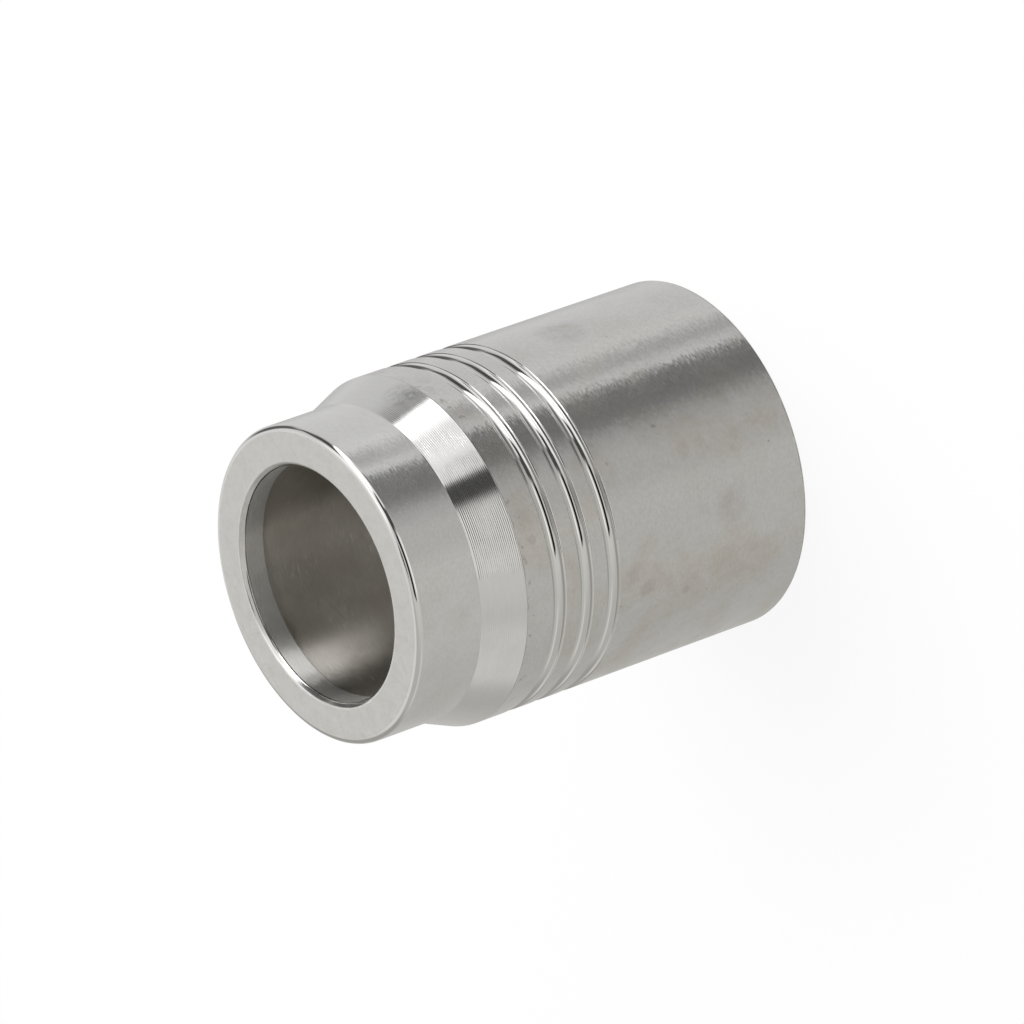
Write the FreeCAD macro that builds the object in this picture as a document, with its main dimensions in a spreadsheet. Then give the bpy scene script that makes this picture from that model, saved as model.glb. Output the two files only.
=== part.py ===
import FreeCAD, Part
import math
import os
import Sketcher

# Crimp hose ferrule, turned from one bar of stainless steel, in millimetres.
# It stands on its hose end: +Z is the turning axis, z = 0 is the hose end's face,
# and the collar, whose mouth takes the fitting's stem, is at the top.

SIZES = {
    # outside of the shell
    "outer_diameter": 38.0,
    "overall_length": 50.2,
    "collar_step": 1.8,
    "collar_length": 8.1,
    "flare_length": 4.65,
    "collar_edge_radius": 0.65,
    "flare_root_radius": 0.8,
    "rear_edge_chamfer": 0.15,
    # three round-bottomed rings behind the flare
    "ring_count": 3,
    "ring_offset": 4.3,
    "ring_pitch": 3.58,
    "ring_nose_radius": 0.9,
    "ring_depth": 0.7,
    # mouth of the collar
    "land_diameter": 25.5,
    "land_length": 3.0,
    "mouth_chamfer": 0.55,
    # hose bore and the teeth that hold the hose
    "bore_diameter": 27.0,
    "lead_in_chamfer": 1.0,
    "tooth_count": 4,
    "tooth_start": 5.0,
    "tooth_pitch": 6.2,
    "tooth_ramp": 3.0,
    "tooth_depth": 0.9,
}

NODE = "ferrule"
ORIGIN_POINT = (-1, 1)
HORIZONTAL_AXIS = -1
LINE_START = 1
LINE_END = 2
CIRCLE_CENTRE = 3

# Small rounds are cut as short flats, to keep the facets few: flats all round the rings' nose,
# and flats across the quarter turn of the collar's rim.
NOSE_FLATS = 10
RIM_FLATS = 3

# The collar is turned down from the shell by a step.
COLLAR_RADIUS = "(Sizes.outer_diameter / 2 - Sizes.collar_step)"

# Heights above the hose end, worked out from the sheet.
COLLAR_BASE = "(Sizes.overall_length - Sizes.collar_length)"
FLARE_END = "(" + COLLAR_BASE + " - Sizes.flare_length)"
FIRST_RING = "(" + FLARE_END + " - Sizes.ring_offset)"

# An edge's rounding takes no more than this share of the wall that it is on.
WALL_SHARE = 0.45
MOUTH_WALL = "abs(" + COLLAR_RADIUS + " - Sizes.land_diameter / 2)"
REAR_WALL = "abs(Sizes.outer_diameter - Sizes.bore_diameter) / 2"


def make_sheet(document):
    sheet = document.addObject("Spreadsheet::Sheet", "Sizes")
    for row, (name, value) in enumerate(SIZES.items(), start=1):
        sheet.set(f"A{row}", name)
        sheet.set(f"B{row}", str(value))
        sheet.setAlias(f"B{row}", name)
    document.recompute()
    return sheet


def origin_feature(body, role):
    for feature in body.Origin.OriginFeatures:
        if feature.Role == role:
            return feature
    raise ValueError(f"the body has no {role}")


def add_section_sketch(body, name):
    """A sketch in the plane of the axis: its x is the radius and its y the height."""
    sketch = body.newObject("Sketcher::SketchObject", name)
    sketch.AttachmentSupport = [(origin_feature(body, "XZ_Plane"), "")]
    sketch.MapMode = "FlatFace"
    return sketch


def add_outline(sketch, corners):
    """Close a loop of straight lines through the corners; line i starts at corner i."""
    count = len(corners)
    for index, (radius, height) in enumerate(corners):
        next_radius, next_height = corners[(index + 1) % count]
        start = FreeCAD.Vector(radius, height, 0)
        end = FreeCAD.Vector(next_radius, next_height, 0)
        sketch.addGeometry(Part.LineSegment(start, end), False)
    for index in range(count):
        following = (index + 1) % count
        sketch.addConstraint(
            Sketcher.Constraint("Coincident", index, LINE_END, following, LINE_START)
        )


def dimension(sketch, kind, name, first, second, value, expression):
    """Add a named distance between two sketch points and bind it to the sheet."""
    number = sketch.addConstraint(Sketcher.Constraint(kind, *first, *second, value))
    sketch.renameConstraint(number, name)
    sketch.setExpression("Constraints." + name, expression)


def arc_corners(centre, reach, start_angle, turn, flats):
    """Both ends of each flat on an arc, in order along it."""
    corners = []
    for index in range(flats + 1):
        angle = start_angle + turn * index / flats
        corners.append((centre[0] + reach * math.cos(angle), centre[1] + reach * math.sin(angle)))
    return corners


def add_flats(sketch, flats, centre, reach):
    """Hold the flats' starts on a guide circle, which is returned, and make the flats equal."""
    position = FreeCAD.Vector(*centre, 0)
    guide = sketch.addGeometry(Part.Circle(position, FreeCAD.Vector(0, 0, 1), reach), True)
    for flat in flats:
        sketch.addConstraint(Sketcher.Constraint("PointOnObject", flat, LINE_START, guide))
    for flat in flats[1:]:
        sketch.addConstraint(Sketcher.Constraint("Equal", flats[0], flat))
    return guide


def bind_radius(sketch, guide, value, expression):
    number = sketch.addConstraint(Sketcher.Constraint("Radius", guide, value))
    sketch.renameConstraint(number, "reach")
    sketch.setExpression("Constraints.reach", expression)


def limited(size_name, wall):
    return f"min(Sizes.{size_name}; {WALL_SHARE} * {wall})"


def add_revolved(body, kind, name, sketch):
    """Turn the sketch once round its vertical axis, adding or removing metal."""
    feature = body.newObject(kind, name)
    feature.Profile = sketch
    feature.ReferenceAxis = (sketch, ["V_Axis"])
    feature.Angle = 360.0
    return feature


def add_blank(body, size):
    """The turned shell: hose end, flare, collar, mouth land and plain hose bore."""
    outer = size["outer_diameter"] / 2
    collar = outer - size["collar_step"]
    land = size["land_diameter"] / 2
    bore = size["bore_diameter"] / 2
    top = size["overall_length"]
    collar_base = top - size["collar_length"]
    flare_end = collar_base - size["flare_length"]
    land_base = top - size["land_length"]
    round_size = min(size["collar_edge_radius"], WALL_SHARE * abs(collar - land))
    rim_centre = (collar - round_size, top - round_size)
    rim = arc_corners(rim_centre, round_size, 0, math.pi / 2, RIM_FLATS)

    sketch = add_section_sketch(body, "BlankProfile")
    below_rim = [(bore, 0), (outer, 0), (outer, flare_end), (collar, collar_base)]
    behind_rim = [(land, top), (land, land_base), (bore, land_base)]
    add_outline(sketch, below_rim + rim + behind_rim)
    hose_face, body_side, flare, collar_side = range(4)
    rim_flats = list(range(4, 4 + RIM_FLATS))
    mouth_face, land_side, step, bore_side = range(4 + RIM_FLATS, 8 + RIM_FLATS)
    for line in (hose_face, mouth_face, step):
        sketch.addConstraint(Sketcher.Constraint("Horizontal", line))
    for line in (body_side, collar_side, land_side, bore_side):
        sketch.addConstraint(Sketcher.Constraint("Vertical", line))
    sketch.addConstraint(
        Sketcher.Constraint("PointOnObject", hose_face, LINE_START, HORIZONTAL_AXIS)
    )

    guide = add_flats(sketch, rim_flats, rim_centre, round_size)
    bind_radius(sketch, guide, round_size, limited("collar_edge_radius", MOUTH_WALL))
    rim_low = (collar_side, LINE_END)
    rim_high = (mouth_face, LINE_START)
    centre = (guide, CIRCLE_CENTRE)
    sketch.addConstraint(Sketcher.Constraint("PointOnObject", *rim_high, guide))
    sketch.addConstraint(Sketcher.Constraint("Horizontal", *rim_low, *centre))
    sketch.addConstraint(Sketcher.Constraint("Vertical", *rim_high, *centre))

    origin = ORIGIN_POINT
    dimension(sketch, "DistanceX", "outer", origin, (body_side, LINE_START), outer,
              "Sizes.outer_diameter / 2")
    dimension(sketch, "DistanceX", "collar", origin, rim_low, collar, COLLAR_RADIUS)
    dimension(sketch, "DistanceX", "land", origin, (land_side, LINE_START), land,
              "Sizes.land_diameter / 2")
    dimension(sketch, "DistanceX", "bore", origin, (hose_face, LINE_START), bore,
              "Sizes.bore_diameter / 2")
    dimension(sketch, "DistanceY", "top", origin, rim_high, top, "Sizes.overall_length")
    dimension(sketch, "DistanceY", "collar_height", (collar_side, LINE_START), rim_high,
              size["collar_length"], "Sizes.collar_length")
    dimension(sketch, "DistanceY", "flare_height", (flare, LINE_START),
              (flare, LINE_END), size["flare_length"], "Sizes.flare_length")
    dimension(sketch, "DistanceY", "land_height", (land_side, LINE_END),
              (land_side, LINE_START), size["land_length"], "Sizes.land_length")
    return add_revolved(body, "PartDesign::Revolution", "Blank", sketch)


def circular_edge(feature, radius, height):
    """The name of the feature's edge that is a full ring of this radius and height."""
    for number, edge in enumerate(feature.Shape.Edges, start=1):
        curve = edge.Curve
        if not isinstance(curve, Part.Circle):
            continue
        off_radius = abs(curve.Radius - radius)
        off_height = abs(curve.Center.z - height)
        if off_radius < Part.Precision.confusion() and off_height < Part.Precision.confusion():
            return f"Edge{number}"
    raise ValueError(f"no ring of radius {radius} at height {height} on {feature.Name}")


def dress_edge(body, kind, name, base, ring, size_name, expression):
    """Round or chamfer one ring of the base; the ring is a radius and a height."""
    body.Document.recompute()
    feature = body.newObject(kind, name)
    feature.Base = (base, [circular_edge(base, *ring)])
    feature.setExpression(size_name, expression)
    return feature


def add_edges(body, base, size):
    """Round the flare's root, and chamfer the mouth and the hose end."""
    top = size["overall_length"]
    collar = size["outer_diameter"] / 2 - size["collar_step"]
    fillet = "PartDesign::Fillet"
    chamfer = "PartDesign::Chamfer"
    feature = dress_edge(body, fillet, "FlareRoot", base, (collar, top - size["collar_length"]),
                         "Radius", "Sizes.flare_root_radius")
    feature = dress_edge(body, chamfer, "Mouth", feature, (size["land_diameter"] / 2, top),
                         "Size", limited("mouth_chamfer", MOUTH_WALL))
    feature = dress_edge(body, chamfer, "RearEdge", feature, (size["outer_diameter"] / 2, 0),
                         "Size", limited("rear_edge_chamfer", REAR_WALL))
    feature = dress_edge(body, chamfer, "LeadIn", feature, (size["bore_diameter"] / 2, 0),
                         "Size", limited("lead_in_chamfer", REAR_WALL))
    return feature


def repeat_along_axis(body, name, feature, step, count, reverse):
    """Copy the feature up the axis, or down it if reverse is set."""
    body.Document.recompute()
    pattern = body.newObject("PartDesign::LinearPattern", name)
    pattern.Originals = [feature]
    pattern.Direction = (origin_feature(body, "Z_Axis"), [""])
    pattern.Reversed = reverse
    pattern.setExpression("Length", f"Sizes.{step} * (Sizes.{count} - 1)")
    pattern.setExpression("Occurrences", f"Sizes.{count}")
    body.Tip = pattern
    return pattern


def add_rings(body, size):
    """Cut the round-bottomed rings. The nose's flats touch its circle, and the first flat,
    the ring's bottom, lies along the axis.
    """
    nose = size["ring_nose_radius"]
    flare_end = size["overall_length"] - size["collar_length"] - size["flare_length"]
    radius = size["outer_diameter"] / 2 - size["ring_depth"] + nose
    height = flare_end - size["ring_offset"]
    half_flat = math.pi / NOSE_FLATS
    reach = nose / math.cos(half_flat)
    corners = arc_corners((radius, height), reach, math.pi - half_flat, 2 * math.pi, NOSE_FLATS)

    sketch = add_section_sketch(body, "RingProfile")
    add_outline(sketch, corners[:-1])
    guide = add_flats(sketch, list(range(NOSE_FLATS)), (radius, height), reach)
    bind_radius(sketch, guide, reach, f"Sizes.ring_nose_radius / cos(180 deg / {NOSE_FLATS})")
    sketch.addConstraint(Sketcher.Constraint("Vertical", 0))
    centre = (guide, CIRCLE_CENTRE)
    dimension(sketch, "DistanceX", "radius", ORIGIN_POINT, centre, radius,
              "Sizes.outer_diameter / 2 - Sizes.ring_depth + Sizes.ring_nose_radius")
    dimension(sketch, "DistanceY", "height", ORIGIN_POINT, centre, height, FIRST_RING)
    first = add_revolved(body, "PartDesign::Groove", "FirstRing", sketch)
    return repeat_along_axis(body, "Rings", first, "ring_pitch", "ring_count", True)


def add_teeth(body, size):
    """Cut the barbed grooves in the bore, with their steep walls towards the hose end.

    The section is a triangle with its long side on the ramp. Half of it lies in the open
    bore, so the ramp meets the bore's wall at its middle.
    """
    bore = size["bore_diameter"] / 2
    depth = size["tooth_depth"]
    ramp = size["tooth_ramp"]
    start = size["tooth_start"]
    sketch = add_section_sketch(body, "ToothProfile")
    add_outline(
        sketch,
        [
            (bore - depth, start),
            (bore + depth, start),
            (bore - depth, start + 2 * ramp),
        ],
    )
    steep_wall, _, open_side = range(3)
    sketch.addConstraint(Sketcher.Constraint("Horizontal", steep_wall))
    sketch.addConstraint(Sketcher.Constraint("Vertical", open_side))
    dimension(sketch, "DistanceX", "inner", ORIGIN_POINT, (steep_wall, LINE_START),
              bore - depth, "Sizes.bore_diameter / 2 - Sizes.tooth_depth")
    dimension(sketch, "DistanceX", "deepest", ORIGIN_POINT, (steep_wall, LINE_END),
              bore + depth, "Sizes.bore_diameter / 2 + Sizes.tooth_depth")
    dimension(sketch, "DistanceY", "start", ORIGIN_POINT, (steep_wall, LINE_START),
              start, "Sizes.tooth_start")
    dimension(sketch, "DistanceY", "ramp", (open_side, LINE_END), (open_side, LINE_START),
              2 * ramp, "2 * Sizes.tooth_ramp")
    first = add_revolved(body, "PartDesign::Groove", "FirstTooth", sketch)
    return repeat_along_axis(body, "Teeth", first, "tooth_pitch", "tooth_count", False)


def check_features(document):
    for thing in document.Objects:
        if "Invalid" in thing.State or "Error" in thing.State:
            raise RuntimeError(f"{thing.Name} failed: {thing.State}")


def check_cuts(stages):
    """Each stage after the blank takes metal away."""
    volumes = [stage.Shape.Volume for stage in stages]
    print("volumes in cubic millimetres:", [round(volume, 1) for volume in volumes])
    for stage, before, after in zip(stages[1:], volumes, volumes[1:]):
        if after >= before:
            raise RuntimeError(f"{stage.Name} removed nothing")


def make_ferrule(document):
    body = document.addObject("PartDesign::Body", "Ferrule")
    body.Label = NODE
    blank = add_blank(body, SIZES)
    edges = add_edges(body, blank, SIZES)
    rings = add_rings(body, SIZES)
    teeth = add_teeth(body, SIZES)
    document.recompute()
    check_features(document)
    check_cuts([blank, edges, rings, teeth])
    return body


def main():
    os.makedirs("parts", exist_ok=True)
    document = FreeCAD.newDocument("CrimpHoseFerrule")
    make_sheet(document)
    body = make_ferrule(document)
    shape = body.Shape
    if shape.isNull() or not shape.isValid() or len(shape.Solids) != 1:
        raise RuntimeError("the ferrule isn't one valid solid")
    box = shape.optimalBoundingBox(True)
    print("box:", round(box.XLength, 3), round(box.YLength, 3), round(box.ZLength, 3))
    shape.exportStep(f"parts/{body.Label}.step")


main()
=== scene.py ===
import math

import bpy
from mathutils import Matrix, Vector


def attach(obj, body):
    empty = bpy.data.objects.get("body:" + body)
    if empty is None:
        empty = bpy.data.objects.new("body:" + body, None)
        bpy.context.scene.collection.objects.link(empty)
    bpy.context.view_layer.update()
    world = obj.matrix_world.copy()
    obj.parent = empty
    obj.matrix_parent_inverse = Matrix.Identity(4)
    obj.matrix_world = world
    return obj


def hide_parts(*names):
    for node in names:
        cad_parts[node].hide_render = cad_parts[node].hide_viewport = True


mm = 0.001

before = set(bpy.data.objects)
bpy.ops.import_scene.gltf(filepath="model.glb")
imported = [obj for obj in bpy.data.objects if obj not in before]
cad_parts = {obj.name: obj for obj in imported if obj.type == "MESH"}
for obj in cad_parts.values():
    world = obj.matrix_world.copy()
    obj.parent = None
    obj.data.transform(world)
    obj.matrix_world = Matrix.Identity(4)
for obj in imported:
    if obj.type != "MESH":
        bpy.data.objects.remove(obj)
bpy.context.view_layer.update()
scene = bpy.context.scene
scene.view_settings.view_transform = "Standard"
print("frame loaded")


class Wire:  # a node socket that adds Math nodes when it is used in a sum
    def __init__(self, maker, socket):
        self.maker, self.socket = maker, socket

    def math(self, operation, *others):
        return self.maker.add("ShaderNodeMath", {"operation": operation}, (self, *others))

    def __add__(self, other):
        return self.math("ADD", other)

    def __sub__(self, other):
        return self.math("SUBTRACT", other)

    def __mul__(self, other):
        return self.math("MULTIPLY", other)

    def __truediv__(self, other):
        return self.math("DIVIDE", other)

    def __rsub__(self, other):
        return self.maker.number("SUBTRACT", other, self)

    def __rtruediv__(self, other):
        return self.maker.number("DIVIDE", other, self)

    def __gt__(self, other):
        return self.math("GREATER_THAN", other)

    def __lt__(self, other):
        return self.math("LESS_THAN", other)

    __radd__, __rmul__ = __add__, __mul__


class Maker:  # adds nodes to one tree
    def __init__(self, tree):
        self.tree = tree

    def node(self, kind, settings=None, inputs=()):
        node = self.tree.nodes.new(kind)
        for name, value in (settings or {}).items():
            setattr(node, name, value)
        pairs = inputs.items() if isinstance(inputs, dict) else enumerate(inputs)
        for key, value in pairs:
            self.feed(node.inputs[key], value)
        return node

    def feed(self, socket, value):
        if isinstance(value, Wire):
            self.tree.links.new(value.socket, socket)
        elif isinstance(value, (list, tuple)) and value and isinstance(value[0], Wire):
            for wire in value:
                self.tree.links.new(wire.socket, socket)
        elif value is not None:
            socket.default_value = value

    def add(self, kind, settings=None, inputs=(), output=0):
        return Wire(self, self.node(kind, settings, inputs).outputs[output])

    def number(self, operation, *values):
        return self.add("ShaderNodeMath", {"operation": operation}, values)

    def vector(self, operation, *values, output=0):
        return self.add("ShaderNodeVectorMath", {"operation": operation}, values, output)

    def scaled(self, vector, factor):
        settings = {"operation": "SCALE"}
        return self.add("ShaderNodeVectorMath", settings, {0: vector, "Scale": factor})

    def xyz(self, x, y, z):
        return self.add("ShaderNodeCombineXYZ", None, (x, y, z))

    def split(self, vector):
        node = self.node("ShaderNodeSeparateXYZ", None, (vector,))
        return [Wire(self, out) for out in node.outputs]

    def step(self, value, low, high):  # 0 below low and 1 above high, soft between
        settings = {"interpolation_type": "SMOOTHSTEP"}
        return self.add("ShaderNodeMapRange", settings, (value, low, high, 0.0, 1.0))

    def band(self, value, low, high, soft):  # 1 from low to high; soft is one value or a pair
        rise, fall = soft if isinstance(soft, tuple) else (soft, soft)
        above = self.step(value, low - rise, low + rise)
        return above * (1 - self.step(value, high - fall, high + fall))

    def noise(self, vector, scale, detail=2.0, roughness=0.5):
        inputs = {"Vector": vector, "Scale": scale, "Detail": detail, "Roughness": roughness}
        return self.add("ShaderNodeTexNoise", None, inputs)

    def blend(self, factor, low, high):  # two colours by a factor
        low, high = [(*color, 1) if isinstance(color, tuple) else color for color in (low, high)]
        inputs = {"Factor": factor, 6: low, 7: high}
        return self.add("ShaderNodeMix", {"data_type": "RGBA"}, inputs, 2)


ferruleSizes = {  # millimetres, and counts
    "outerRadius": 19.0,
    "overallLength": 50.2,
    "collarRadius": 17.2,
    "collarLength": 8.1,
    "flareLength": 4.65,
    "flareRootRound": 0.8,
    "rimRound": 0.65,
    "rearChamfer": 0.15,
    "edgeBreak": 0.05,  # every sharp edge is broken by this
    "ringCount": 3,
    "ringOffset": 4.3,
    "ringPitch": 3.58,
    "ringNose": 0.78,
    "ringDepth": 0.7,
    "ringLip": 0.195,
    "landRadius": 12.75,
    "landLength": 3.0,
    "mouthChamfer": 0.42,
    "mouthRound": 0.4,
    "boreRadius": 13.5,
    "toothCount": 4,
    "toothStart": 5.0,
    "toothPitch": 6.2,
    "toothRamp": 3.0,
    "toothDepth": 0.9,
    "leadIn": 1.0,
    "steps": 6,  # flats in each round
    "noseSteps": 16,
    "segments": 256,
}
countNames = ("ringCount", "toothCount", "steps", "noseSteps", "segments")
supportGap = 0.03 * mm  # a loop this near each round keeps its flat sides flat


def addInputs(tree, sizes):
    wires, maker = {}, Maker(tree)
    for name in sizes:
        kind = "NodeSocketInt" if name in countNames else "NodeSocketFloat"
        tree.interface.new_socket(name, in_out="INPUT", socket_type=kind)
    group = tree.nodes.new("NodeGroupInput")
    for name, socket in zip(sizes, group.outputs):
        wires[name] = Wire(maker, socket)
    return maker, wires


def setInputs(modifier, tree, sizes):
    for item in tree.interface.items_tree:
        if item.in_out == "INPUT":
            value = sizes[item.name]
            modifier[item.identifier] = value if item.name in countNames else value * mm


def turnedProfile(maker, s):
    # the section's corners and arcs, as points sorted by an order number
    index = maker.add("GeometryNodeInputIndex")

    def store(points, name, value):
        settings = {"data_type": "FLOAT", "domain": "POINT"}
        inputs = {"Geometry": points, "Name": name, "Value": value}
        return maker.add("GeometryNodeStoreNamedAttribute", settings, inputs)

    def named(name):
        settings = {"data_type": "FLOAT"}
        return maker.add("GeometryNodeInputNamedAttribute", settings, {"Name": name})

    def pointsAt(count, radius, height, order):
        inputs = {"Count": count, "Position": maker.xyz(radius, height, 0.0)}
        points = maker.add("GeometryNodePoints", None, inputs)
        return store(points, "order", order)

    def sample(points, value, place, kind="FLOAT"):
        settings = {"data_type": kind, "domain": "POINT"}
        inputs = {"Geometry": points, "Value": value, "Index": place}
        return maker.add("GeometryNodeSampleIndex", settings, inputs)

    top, shell, bore = s["overallLength"], s["outerRadius"], s["boreRadius"]
    collar, land, cut = s["collarRadius"], s["landRadius"], s["edgeBreak"]
    collarBase = top - s["collarLength"]
    flareEnd = collarBase - s["flareLength"]
    mouth, landEnd = land + s["mouthChamfer"], top - s["landLength"]
    corners = [  # order, radius, height, round
        (100, shell - s["rearChamfer"], 0.0, cut),
        (200, shell, s["rearChamfer"], cut),
        (400, shell, flareEnd, cut * 2),
        (500, collar, collarBase, s["flareRootRound"]),
        (600, collar, top, s["rimRound"]),
        (700, mouth, top, s["mouthRound"]),
        (800, land, top - s["mouthChamfer"], s["mouthRound"]),
        (900, land, landEnd, cut),
        (1000, bore, landEnd, cut),
        (3000, bore, s["leadIn"], cut),
        (3100, bore + s["leadIn"], 0.0, cut),
    ]
    sets = []
    for order, radius, height, fillet in corners:
        sets.append(store(pointsAt(1, radius, height, float(order)), "round", fillet))

    teeth = s["toothCount"]  # from the top tooth down
    start = s["toothStart"] + (teeth - 1 - index) * s["toothPitch"]
    toothCorners = (start + s["toothRamp"], bore), (start, bore + s["toothDepth"]), (start, bore)
    for number, (height, radius) in enumerate(toothCorners):
        order = index * 10 + (2000 + number * 3)
        sets.append(store(pointsAt(teeth, radius, height, order), "round", cut))
    joined = maker.add("GeometryNodeJoinGeometry", None, {"Geometry": sets})
    sortInputs = {"Geometry": joined, "Sort Weight": named("order")}
    points = maker.add("GeometryNodeSortElements", {"domain": "POINT"}, sortInputs)
    sizeNode = {"component": "POINTCLOUD"}
    total = maker.add("GeometryNodeAttributeDomainSize", sizeNode, {"Geometry": points})

    # each corner becomes an arc with a support point at each side
    perCorner = s["steps"] + 3
    corner = (index / perCorner).math("FLOOR")
    local = index - corner * perCorner
    place = maker.add("GeometryNodeInputPosition")
    here = sample(points, place, corner, "FLOAT_VECTOR")

    def neighbour(steps):
        number = (corner + steps).math("FLOORED_MODULO", total)
        return sample(points, place, number, "FLOAT_VECTOR")

    before, after = neighbour(total - 1), neighbour(1)
    fillet = sample(points, named("round"), corner)
    toBefore = maker.vector("NORMALIZE", maker.vector("SUBTRACT", before, here))
    toAfter = maker.vector("NORMALIZE", maker.vector("SUBTRACT", after, here))
    cosine = maker.vector("DOT_PRODUCT", toBefore, toAfter, output="Value")
    reach = fillet * ((1 + cosine) / (1 - cosine)).math("SQRT")
    pull = ((1 - cosine) / 2).math("SQRT")  # the weight that makes the curve a true arc
    t = ((local - 1) / s["steps"]).math("MAXIMUM", 0.0).math("MINIMUM", 1.0)
    first, second = (1 - t) * (1 - t), t * t
    whole = first + second + 2 * pull * t * (1 - t)
    extra = (1 - local).math("MAXIMUM", 0.0), (local - (s["steps"] + 1)).math("MAXIMUM", 0.0)
    alongBefore = reach * first / whole + extra[0] * supportGap
    alongAfter = reach * second / whole + extra[1] * supportGap
    moved = maker.vector("ADD", here, maker.scaled(toBefore, alongBefore))
    moved = maker.vector("ADD", moved, maker.scaled(toAfter, alongAfter))
    inputs = {"Count": total * perCorner, "Position": moved}
    rounded = maker.add("GeometryNodePoints", None, inputs)
    cornerOrder = sample(points, named("order"), corner)
    outline = [store(rounded, "order", cornerOrder + local * 0.01)]

    # the rings, each a lip, the nose's arc and a lip
    nose, lip, count = s["ringNose"], s["ringLip"], s["ringCount"]
    rise = nose - s["ringDepth"] + lip
    spread = (rise / (nose + lip)).math("ARCCOSINE")
    side = ((nose + lip) * (nose + lip) - rise * rise).math("SQRT")
    lowest = flareEnd - s["ringOffset"] - (count - 1) * s["ringPitch"]

    def ringPart(part, perRing, radius, offset):
        ring = (index / perRing).math("FLOOR")
        i = index - ring * perRing
        height = lowest + ring * s["ringPitch"] + offset(i)
        order = 300 + ring * 5 + part + i * 0.01
        outline.append(pointsAt(count * perRing, radius(i), height, order))

    def lipAngle(i):
        return spread * (i - 1).math("MAXIMUM", 0.0) / s["steps"]

    def lipRadius(i):
        return lip * lipAngle(i).math("COSINE") + (shell - lip)

    def lipOffset(i):  # from the ring's middle, with a support point where i is 0
        support = (1 - i).math("MAXIMUM", 0.0) * supportGap
        return lip * lipAngle(i).math("SINE") - side - support

    def back(i):  # the same lip, walked the other way
        return s["steps"] + 1 - i

    def noseAngle(i):
        return spread * ((i + 1) / (s["noseSteps"] + 1) * 2 - 1)

    def noseRadius(i):
        return shell + (nose - s["ringDepth"]) - nose * noseAngle(i).math("COSINE")

    def noseOffset(i):
        return nose * noseAngle(i).math("SINE")

    lipPoints = s["steps"] + 2  # a support point and the arc
    ringPart(0, lipPoints, lipRadius, lipOffset)
    ringPart(1, s["noseSteps"], noseRadius, noseOffset)
    ringPart(2, lipPoints, lambda i: lipRadius(back(i)), lambda i: lipOffset(back(i)) * -1.0)

    whole = maker.add("GeometryNodeJoinGeometry", None, {"Geometry": outline})
    inputs = {"Points": whole, "Weight": named("order")}
    curve = maker.add("GeometryNodePointsToCurves", None, inputs)
    return maker.add("GeometryNodeSetSplineCyclic", None, {"Geometry": curve, "Cyclic": True})


finishReach = {  # millimetres that a finish goes past its own form, or stays short of it
    "outside": 1.5,
    "groove": 0.004,
    "flare": 0.1,
    "rim": 0.02,
    "face": 0.001,
    "bore": 0.2,
    "land": 0.1,
    "mouth": 0.168,
}


def turnedTree(materials):
    tree = bpy.data.node_groups.new("turnedFerrule", "GeometryNodeTree")
    maker, s = addInputs(tree, ferruleSizes)
    tree.interface.new_socket("Geometry", in_out="OUTPUT", socket_type="NodeSocketGeometry")
    profile = turnedProfile(maker, s)
    radius, height, _ = maker.split(maker.add("GeometryNodeInputPosition"))
    guide = s["boreRadius"]
    flat = maker.xyz(radius - guide, height * -1.0, 0.0)
    profile = maker.add("GeometryNodeSetPosition", None, {"Geometry": profile, "Position": flat})
    inputs = {"Resolution": s["segments"], "Radius": guide}
    circle = maker.add("GeometryNodeCurvePrimitiveCircle", None, inputs)
    inputs = {"Curve": circle, "Profile Curve": profile}
    turned = maker.add("GeometryNodeCurveToMesh", None, inputs)
    turned = maker.add("GeometryNodeFlipFaces", None, {"Mesh": turned})  # faces look outward
    turned = maker.add("GeometryNodeSetShadeSmooth", None, {0: turned, "Shade Smooth": True})

    x, y, z = maker.split(maker.add("GeometryNodeInputPosition"))
    out = (x * x + y * y).math("SQRT")
    top, shell, collar = s["overallLength"], s["outerRadius"], s["collarRadius"]
    collarBase = top - s["collarLength"]
    flareEnd = collarBase - s["flareLength"]
    past = {name: value * mm for name, value in finishReach.items()}
    outside = out > collar - past["outside"]
    ringTop = flareEnd - s["ringOffset"] + s["ringNose"]
    ringLow = ringTop - s["ringPitch"] * (s["ringCount"] - 1) - s["ringNose"] * 2
    inRings = (out < shell - past["groove"]) * (z > ringLow) * (z < ringTop) * outside
    onFlare = (z > flareEnd) * (z < collarBase + past["flare"]) * outside
    rimStart = collar - s["rimRound"] - past["rim"]
    onRim = (z > top - s["rimRound"]) * (out > rimStart)
    faceLow = top - past["face"]
    onFace = (z > faceLow) * (out < rimStart)
    inside = (out < s["boreRadius"] + s["toothDepth"] + past["bore"]) * (z < faceLow)
    onLand = inside * (z > top - s["landLength"] - past["land"])
    onMouth = inside * (z > top - s["mouthChamfer"] - past["mouth"])
    zones = (
        ("satinShell", None),
        ("brightFlare", onFlare),
        ("polishedRing", inRings),
        ("boredInside", inside),
        ("boredLand", onLand),
        ("mouthEdge", onMouth),
        ("facedEnd", onFace),
        ("polishedRim", onRim),
    )
    for name, where in zones:
        inputs = {"Geometry": turned, "Material": materials[name]}
        if where is not None:
            inputs["Selection"] = where
        turned = maker.add("GeometryNodeSetMaterial", None, inputs)
    turned = maker.add("GeometryNodeRealizeInstances", None, {"Geometry": turned})
    output = tree.nodes.new("NodeGroupOutput")
    maker.feed(output.inputs[0], turned)
    return tree


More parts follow.
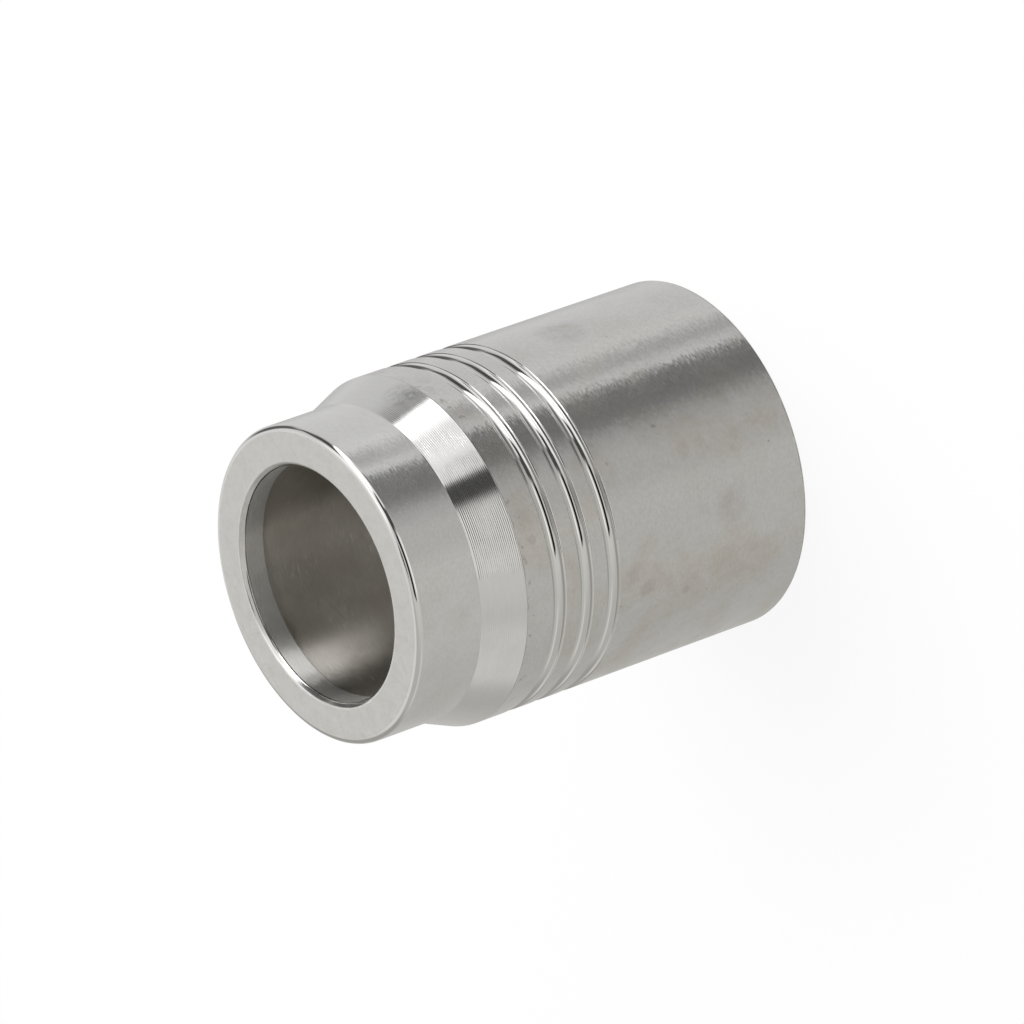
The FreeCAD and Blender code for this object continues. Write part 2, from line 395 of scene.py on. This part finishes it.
def plainMesh(name, tree, sizes):
    holder = bpy.data.objects.new(name + "Maker", bpy.data.meshes.new(name + "Maker"))
    scene.collection.objects.link(holder)
    modifier = holder.modifiers.new("turn", "NODES")
    modifier.node_group = tree
    setInputs(modifier, tree, sizes)
    graph = bpy.context.evaluated_depsgraph_get()
    mesh = bpy.data.meshes.new_from_object(holder.evaluated_get(graph), depsgraph=graph)
    bpy.data.objects.remove(holder)
    mesh.name = name
    piece = bpy.data.objects.new(name, mesh)
    scene.collection.objects.link(piece)
    return piece


satinShell = {
    "color": (0.593, 0.587, 0.575),
    "collarColor": (0.652, 0.647, 0.637),
    "collarFrom": 42.0,
    "stainColor": (0.52, 0.487, 0.435),  # the faint brown cast of handling and oil
    "stainPatches": (120.0, 4.0, 0.62, 0.42, 0.66),  # scale, detail, roughness and its two edges
    "stainGrain": (620.0, 3.0, 0.6, 0.40, 0.70),
    "stainShare": 0.8,
    "grainShare": 0.45,  # how far the grain breaks the stain up
    "stainStreaks": 0.35,
    "handledSide": (-0.57, -0.82),  # the side that has most stain
    "cleanSide": 0.3,  # and the share of it on the other side
    "cleanCollar": 0.65,  # how much of the stain the collar is spared
    "rustColor": (0.40, 0.36, 0.335),
    "speckColor": (0.30, 0.28, 0.26),
    "speckShare": 0.55,
    "specks": (900.0, 1.0, 0.5, 0.735, 0.775),
    "edgeSpecks": (1100.0, 2.0, 0.5, 0.60, 0.70),
    "roughness": 0.17,
    "patchRoughness": 0.05,
    "streakRoughness": 0.06,
    "anisotropic": 0.9,
    "streakRound": 1700.0,  # the turning marks, long round the shell and short along it
    "streakAlong": 5600.0,
    "grainSize": 2500.0,
    "tiltRound": 0.15,  # how far the marks tip the light round the shell, and along it
    "tiltAlong": 0.1,
    "collarTilt": 0.7,
    "grainTone": 0.09,
    "spots": (  # angle from the front, height, size and share
        (60, 17.2, 3.4, 0.6),
        (-38, 21.5, 1.3, 0.75),
        (-44, 16.0, 0.7, 0.6),
        (-20, 10.0, 2.6, 0.35),
        (-33, 24.0, 1.8, 0.3),
        (-9, 35.6, 0.7, 0.9),
        (53, 36.4, 0.8, 0.5),
        (58.5, 35.7, 1.0, 0.25),
        (38, 35.9, 1.5, 0.3),
        (45, 36.6, 0.6, 0.4),
    ),
    "pitShare": 1.6,
    "pits": ((-4.5, 3.5, 0.14, 1.0), (-31, 26.5, 0.12, 0.7), (-47, 13.0, 0.16, 0.7)),
    "edgeBand": (36.2, 37.45),  # the heights that have the edge's specks, below the flare
    "edgeLine": 0.14,  # the height of the dark line below the flare, which is ragged
    "rearEdge": 0.22,  # the same at the rear edge
    "ragged": 0.12,
}
brightFlare = {
    "color": (0.59, 0.585, 0.575),
    "paleColor": (0.66, 0.655, 0.645),
    "streakRound": 500.0,
    "streakAlong": 3400.0,
    "roughness": 0.12,
    "streakRoughness": 0.08,
    "anisotropic": 0.6,
    "feed": 0.195,  # millimetres from one turning mark to the next
    "markDepth": 0.006,
    "streakDepth": 0.8,  # as a share of a mark's depth
    "wobble": 260.0,
    # painted shade: mottled dark patches where the flare's reflection is dark
    "flareShadeColor": (0.33, 0.33, 0.33),
    "flareShadeGrain": (1900.0, 3.0, 0.6, 0.3, 0.66),
    "flareShadeSpots": (
        (55.5, 38.3, 1.5, 0.7),
        (55.0, 40.0, 1.5, 0.7),
        (54.0, 41.4, 1.1, 0.8),
        (60.0, 39.2, 2.0, 0.35),
        (65.0, 40.6, 0.8, 0.25),
    ),
}
polished = {
    "color": (0.62, 0.61, 0.595),
    "paleColor": (0.69, 0.685, 0.67),
    "roughness": 0.05,
    "haze": 0.05,
    "streakRound": 300.0,
    "streakAlong": 3600.0,
}
facedEnd = {
    "color": (0.54, 0.525, 0.50),
    "paleColor": (0.71, 0.705, 0.69),
    "roughness": 0.42,
    "smearRoughness": 0.3,
    "smear": (640.0, 5.0, 0.65, 0.3, 0.7),
    "ringMarks": 2600.0,
    "fineGrain": 1800.0,
    "tones": (0.6, 0.15, 0.25),  # the shares of smear, ring marks and grain in the colour
    "heights": (1.2, 0.3, 0.3),  # and in the bumps
    "depth": 0.018,
}
boredInside = {
    "color": (0.60, 0.58, 0.54),
    "dullColor": (0.49, 0.46, 0.405),
    "dull": (150.0, 3.0, 0.5, 0.35, 0.7),
    # the colour of the light dashes, and of the painted highlight at the step
    "dashAndGlintColor": (0.80, 0.785, 0.75),
    "dashShare": 0.5,
    "dashRound": 700.0,
    "dashAlong": 3000.0,
    "dashPatches": (210.0, 1.0, 0.5, 0.55, 0.68),
    "stepShadeColor": (0.2, 0.19, 0.17),  # painted shade: the dark line in the crevice at the step behind the land
    "stepShadeShare": 0.6,
    "stepShadeBand": (47.08, 47.34),
    "edgeGlintBand": (46.86, 47.02),  # and the painted highlight, a light line beside it where the edge would catch light
    "edgeGlintShare": 0.8,
    "roughness": 0.42,
    "streakRoughness": 0.1,
    "streakTone": 0.12,
    "anisotropic": 1.0,
    "streakRound": 1100.0,
    "streakAlong": 6000.0,
    "tiltRound": 0.16,
    "tiltAlong": 0.3,
}
boredLand = {**boredInside, "color": (0.68, 0.67, 0.65), "dullColor": (0.6, 0.59, 0.57)}
mouthEdge = {
    **boredLand,
    "color": (0.64, 0.63, 0.61),
    "roughness": 0.17,
    "anisotropic": 0.6,
    "tiltRound": 0.03,
}


class Steel(Maker):  # one steel material, with its coordinates ready
    def __init__(self, name, look):
        self.material = bpy.data.materials.new(name)
        self.material.use_nodes = True
        super().__init__(self.material.node_tree)
        self.shader = self.tree.nodes["Principled BSDF"]
        self.place = self.add("ShaderNodeTexCoord", None, (), "Object")
        self.x, self.y, self.z = self.split(self.place)
        self.out = (self.x * self.x + self.y * self.y).math("SQRT")
        self.set("Metallic", 1.0)
        self.set("Base Color", (*look["color"], 1))
        self.set("Roughness", look["roughness"])
        self.set("Anisotropic", look.get("anisotropic", 0.0))
        self.set("Anisotropic Rotation", 0.25)  # blurs along the axis, as marks round it do

    def set(self, name, value):
        self.feed(self.shader.inputs[name], value)

    def patches(self, look):
        scale, detail, roughness, low, high = look
        return self.step(self.noise(self.place, scale, detail, roughness), low, high)

    def streaks(self, roundScale, alongScale, detail=3.0):
        stretched = self.xyz(self.x * roundScale, self.y * roundScale, self.z * alongScale)
        return self.noise(stretched, 1.0, detail, 0.6)

    def spots(self, marks):  # soft marks: angle from the front, height, size and share of each
        total, radius = 0.0, ferruleSizes["outerRadius"] * mm
        for angle, height, size, share in marks:
            turn = math.radians(angle)
            point = (math.sin(turn) * radius, -math.cos(turn) * radius, height * mm)
            away = self.vector("DISTANCE", self.place, point, output="Value")
            mark = (1 - self.step(away, size * 0.4 * mm, size * mm)) * share
            total = self.number("MAXIMUM", total, mark)
        return total

    def tip(self, sideways, along):  # tips the surface's direction round the axis and along it
        normal = self.add("ShaderNodeNewGeometry", None, (), "Normal")
        roundAxis = self.xyz(self.y * -1.0 / self.out, self.x / self.out, 0.0)
        turned = self.vector("ADD", normal, self.scaled(roundAxis, sideways))
        turned = self.vector("ADD", turned, self.xyz(0.0, 0.0, along))
        self.set("Normal", self.vector("NORMALIZE", turned))

    def bump(self, height, depth):
        inputs = {"Strength": 1.0, "Distance": depth * mm, "Height": height}
        self.set("Normal", self.add("ShaderNodeBump", None, inputs))


def satinSteel(look):
    steel = Steel("satinShell", look)
    patches = steel.patches(look["stainPatches"])
    grain = steel.patches(look["stainGrain"])
    streaks = steel.streaks(look["streakRound"], look["streakAlong"], 2.0)
    sideX, sideY = look["handledSide"]
    handled = steel.step((steel.x * sideX + steel.y * sideY) / steel.out, -0.1, 0.75)
    onCollar = steel.z > look["collarFrom"] * mm
    stain = patches * (1 - look["grainShare"] * (1 - grain)) * look["stainShare"]
    stain = stain * (look["cleanSide"] + (1 - look["cleanSide"]) * handled)
    stain = stain + (streaks - 0.5) * look["stainStreaks"]
    stain = stain.math("MAXIMUM", 0.0).math("MINIMUM", 1.0)
    stain = stain * (1 - look["cleanCollar"] * onCollar)

    # specks, pits, and the dark ragged lines at the flare's end and the rear edge
    low, high = (height * mm for height in look["edgeBand"])
    rear = look["rearEdge"] * mm
    ragged = steel.z + (grain - 0.5) * (look["ragged"] * mm)
    specks = steel.patches(look["specks"]) * patches * (1 - onCollar)
    byFlare = steel.band(steel.z, low, high, 0.4 * mm) * steel.patches(look["edgeSpecks"])
    pits = steel.spots(look["pits"]) * look["pitShare"]
    flareLine = steel.band(ragged, high - look["edgeLine"] * mm, high, 0.03 * mm) * 0.8
    rearLine = 1 - steel.step(ragged, rear - 0.04 * mm, rear + 0.04 * mm)
    for marks in (byFlare, pits, flareLine, rearLine):
        specks = specks.math("MAXIMUM", marks)
    rust = steel.spots(look["spots"]) * (0.4 + grain * 0.6)

    color = steel.blend(onCollar, look["color"], look["collarColor"])
    color = steel.blend(stain, color, look["stainColor"])
    color = steel.blend(rust, color, look["rustColor"])
    color = steel.blend(specks * look["speckShare"], color, look["speckColor"])
    grainy = steel.noise(steel.place, look["grainSize"], 2.0, 0.55)
    calm = 1 - (1 - look["collarTilt"]) * onCollar
    worn = steel.step(streaks * 0.6 + grainy * 0.4, 0.35, 0.65) - 0.5
    steel.set("Base Color", steel.scaled(color, 1 + worn * look["grainTone"] * calm))
    rough = look["patchRoughness"] * patches + look["streakRoughness"] * (streaks - 0.5)
    steel.set("Roughness", look["roughness"] + rough)
    sideways = (streaks - 0.5) * look["tiltRound"] * calm
    steel.tip(sideways, (grainy - 0.5) * look["tiltAlong"] * calm)
    return steel.material


def flareSteel(look):
    steel = Steel("brightFlare", look)
    wave = (steel.z * (2 * math.pi / (look["feed"] * mm))).math("SINE")
    strength = steel.noise(steel.place, look["wobble"], 2.0)
    streaks = steel.streaks(look["streakRound"], look["streakAlong"])
    color = steel.blend(streaks, look["color"], look["paleColor"])
    # painted shade, mottled, where the flare's reflection is dark
    flareShade = steel.spots(look["flareShadeSpots"]) * steel.patches(look["flareShadeGrain"])
    steel.set("Base Color", steel.blend(flareShade, color, look["flareShadeColor"]))
    steel.set("Roughness", look["roughness"] + look["streakRoughness"] * (streaks - 0.5))
    steel.bump(wave * strength + streaks * look["streakDepth"], look["markDepth"])
    return steel.material


def polishedSteel(name, look):
    steel = Steel(name, look)
    marks = steel.streaks(look["streakRound"], look["streakAlong"])
    steel.set("Roughness", look["roughness"] + look["haze"] * marks)
    steel.set("Base Color", steel.blend(marks, look["color"], look["paleColor"]))
    return steel.material


def facedSteel(look):
    steel = Steel("facedEnd", look)
    smear = steel.patches(look["smear"])
    rings = steel.noise(steel.xyz(steel.out * look["ringMarks"], 0.0, 0.0), 1.0, 3.0)
    fine = steel.noise(steel.place, look["fineGrain"], 2.0)

    def mixed(shares):
        return smear * shares[0] + rings * shares[1] + fine * shares[2]

    steel.set("Base Color", steel.blend(mixed(look["tones"]), look["color"], look["paleColor"]))
    steel.set("Roughness", look["roughness"] + look["smearRoughness"] * (smear - 0.5))
    steel.bump(mixed(look["heights"]), look["depth"])
    return steel.material


def boredSteel(name, look):
    steel = Steel(name, look)
    streaks = steel.streaks(look["streakRound"], look["streakAlong"])
    dull = steel.patches(look["dull"])
    dashes = steel.step(steel.streaks(look["dashRound"], look["dashAlong"], 1.0), 0.58, 0.70)
    dashes = dashes * steel.patches(look["dashPatches"]) * look["dashShare"]

    def ringLine(heights):
        low, high = heights
        return steel.band(steel.z, low * mm, high * mm, 0.04 * mm)

    # painted highlight: a broken light line where the land's edge would catch light
    edgeGlint = ringLine(look["edgeGlintBand"]) * steel.step(streaks, 0.35, 0.55)
    color = steel.blend(dull * 0.7 + streaks * 0.3, look["color"], look["dullColor"])
    color = steel.blend(dashes, color, look["dashAndGlintColor"])
    bright = steel.step(streaks, 0.3, 0.7) - 0.5
    color = steel.scaled(color, 1 + look["streakTone"] * bright)
    color = steel.blend(edgeGlint * look["edgeGlintShare"], color, look["dashAndGlintColor"])
    # painted shade: a dark line where the step behind the land leaves a shaded crevice
    line = ringLine(look["stepShadeBand"]) * look["stepShadeShare"]
    steel.set("Base Color", steel.blend(line, color, look["stepShadeColor"]))
    steel.set("Roughness", look["roughness"] + look["streakRoughness"] * (streaks - 0.5))
    along = (dull - 0.5) * (streaks - 0.5) * look["tiltAlong"]
    steel.tip((streaks - 0.5) * look["tiltRound"], along)
    return steel.material


materials = {
    "satinShell": satinSteel(satinShell),
    "brightFlare": flareSteel(brightFlare),
    "polishedRing": polishedSteel("polishedRing", polished),
    "polishedRim": polishedSteel("polishedRim", polished),
    "facedEnd": facedSteel(facedEnd),
    "boredInside": boredSteel("boredInside", boredInside),
    "boredLand": boredSteel("boredLand", boredLand),
    "mouthEdge": boredSteel("mouthEdge", mouthEdge),
}
ferrule = plainMesh("turned_ferrule", turnedTree(materials), ferruleSizes)
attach(ferrule, "root")
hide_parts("ferrule")
faces, finishes = len(ferrule.data.polygons), len(ferrule.data.materials)
print("ferrule turned:", faces, "faces,", finishes, "finishes")


# The studio is a soft tent round the table. Azimuth 0 is the camera's side and 90 is the side
# that shows at the picture's top; elevation 90 is straight up.
tentLook = {
    "level": 0.80,  # where no panel is
    "warmTint": (1.0, 0.985, 0.95),
    "warmFade": (-20.0, 60.0),  # the azimuths over which the warm tint fades out
    "fill": 0.5,  # the light on what isn't metal
}
# Each panel has its azimuths and their softness, its elevations and their softness, and its
# level, or its levels at the two azimuths. A later panel lies over the earlier ones.
tentPanels = [
    ((-200, -60), 30, (-91, 91), 15, 0.62),
    ((-80, 20), 20, (-91, -14), 5, 0.68),
    ((-8, 24), 9, (-91, -14), 5, 0.60),
    ((60, 200), 5, (-91, -20), 5, 0.81),
    ((156, 210), 8, (-91, -20), 5, 0.62),
    ((70, 84), 3, (-60, -20), 5, 0.50),
    ((28, 61), (15, 1.5), (-91, -12), 4, 0.215),
    ((140, 260), 12, (5, 80), 10, 0.95),
    ((-260, -140), 12, (5, 80), 10, 0.95),
    ((-178, -120), 8, (-10, 30), 6, 0.47),
    ((-108, -62), 8, (-12, 8), 5, 0.85),
    ((86, 150), 4, (46, 91), 5, 1.3),
    ((89, 103), (2, 13), (-12, 30), 4, 0.46),
    ((96, 121), 4, (8, 36), 4, 0.12),
    ((122, 156), 5, (-3, 26), 4, 0.15),
    ((33, 88), 1.5, (-3, 78), 3, (1.18, 1.34)),
    ((72, 88), (7, 1.5), (-14, 78), 3, 2.2),
    ((88, 104), 2, (4, 38), 3, 0.08),
    ((-30, 12), 4, (-10, 13), 3, 0.95),
    ((-26, 12), 4, (-13, -2), 2, 1.4),
    ((17, 46), 3, (13, 44), 4, 0.06),
    ((16.5, 32), (4, 2), (-8, 45), 3, 0.085),
    ((-32, 16), (1.5, 3), (16, 47), 4, 0.01),
    ((-32, 16), (1.5, 3), (66, 91), 5, 0.06),
]


def tentLevel(maker, azimuth, elevation):
    level = tentLook["level"]
    for (left, right), soft, (low, high), fade, value in tentPanels:
        if isinstance(value, tuple):
            value = maker.add("ShaderNodeMapRange", None, (azimuth, left, right, *value))
        mask = maker.band(azimuth, left, right, soft) * maker.band(elevation, low, high, fade)
        level = level + mask * (value - level)
    return level


def studioWorld():
    world = bpy.data.worlds.new("studioTent")
    world.use_nodes = True
    world.node_tree.nodes.clear()
    maker = Maker(world.node_tree)
    direction = maker.add("ShaderNodeTexCoord")  # Generated, the ray's direction
    x, y, z = maker.split(direction)
    azimuth = x.math("ARCTAN2", y * -1.0).math("DEGREES")
    elevation = z.math("ARCSINE").math("DEGREES")
    level = tentLevel(maker, azimuth, elevation)
    rays = maker.node("ShaderNodeLightPath")
    glossy = Wire(maker, rays.outputs["Is Glossy Ray"])
    seen = Wire(maker, rays.outputs["Is Camera Ray"])
    seen = seen.math("MAXIMUM", Wire(maker, rays.outputs["Is Transmission Ray"]))
    strength = glossy * level + seen + (1 - glossy) * (1 - seen) * tentLook["fill"]
    onWarmSide = glossy * (1 - maker.step(azimuth, *tentLook["warmFade"]))
    tint = maker.blend(onWarmSide, (1, 1, 1), tentLook["warmTint"])
    shade = maker.add("ShaderNodeBackground", None, {"Color": tint, "Strength": strength})
    output = world.node_tree.nodes.new("ShaderNodeOutputWorld")
    maker.feed(output.inputs["Surface"], shade)
    world.cycles.sampling_method = "NONE"  # the metal's reflections find the tent, and sooner
    scene.world = world


floorLook = {"halfSize": 6.0, "color": 0.85, "glow": 0.9}


def studioFloor():
    half = floorLook["halfSize"]
    corners = [(-half, -half, 0), (half, -half, 0), (half, half, 0), (-half, half, 0)]
    mesh = bpy.data.meshes.new("floor")
    mesh.from_pydata(corners, [], [(0, 1, 2, 3)])
    floor = bpy.data.objects.new("floor", mesh)
    scene.collection.objects.link(floor)
    material = bpy.data.materials.new("paleFloor")
    material.use_nodes = True
    material.node_tree.nodes.clear()
    maker = Maker(material.node_tree)
    paint = maker.add("ShaderNodeBsdfDiffuse", None, {"Color": (floorLook["color"],) * 3 + (1,)})
    glow = maker.add("ShaderNodeEmission", None, {"Color": (1, 1, 1, 1), "Strength": 1.0})
    rays = maker.node("ShaderNodeLightPath")
    seen = Wire(maker, rays.outputs["Is Camera Ray"])
    mixed = maker.add("ShaderNodeMixShader", None, (seen * floorLook["glow"], paint, glow))
    output = material.node_tree.nodes.new("ShaderNodeOutputMaterial")
    maker.feed(output.inputs["Surface"], mixed)
    mesh.materials.append(material)
    floor.visible_glossy = False


lampLooks = {
    "upperSoftbox": {
        "place": (0.5, 0.2, 0.9),
        "size": (0.8, 0.8),
        "power": 9.0,
        "inMetal": False,  # whether polished metal mirrors the lamp
    },
    "keyStrip": {
        "place": (0.977, -0.477, 0.507),
        "size": (0.55, 0.34),
        "power": 2.9,
        "inMetal": True,
    },
}


def softLamp(name, look):
    light = bpy.data.lights.new(name, "AREA")
    light.shape, light.energy = "RECTANGLE", look["power"]
    light.size, light.size_y = look["size"]
    lamp = bpy.data.objects.new(name, light)
    lamp.location = look["place"]
    lamp.rotation_euler = (-Vector(look["place"])).to_track_quat("-Z", "Y").to_euler()
    lamp.visible_glossy = look["inMetal"]
    scene.collection.objects.link(lamp)


cameraLook = {
    "place": (0.000077, -0.798870, 0.564099),
    "right": (-0.334199, -0.527714, -0.780916),
    "up": (0.942503, -0.187434, -0.276690),
    "lens": 323.752,
    "sensorWidth": 36.0,
}


def pictureCamera():
    data = bpy.data.cameras.new("pictureCamera")
    data.sensor_width = cameraLook["sensorWidth"]
    data.lens = cameraLook["lens"]
    right, up = Vector(cameraLook["right"]).normalized(), Vector(cameraLook["up"])
    back = right.cross(up).normalized()
    up = back.cross(right)
    camera = bpy.data.objects.new("pictureCamera", data)
    turn = Matrix((right, up, back)).transposed().to_4x4()
    camera.matrix_world = Matrix.Translation(cameraLook["place"]) @ turn
    scene.collection.objects.link(camera)
    scene.camera = camera


studioWorld()
studioFloor()
for name, look in lampLooks.items():
    softLamp(name, look)
pictureCamera()
print("studio set")
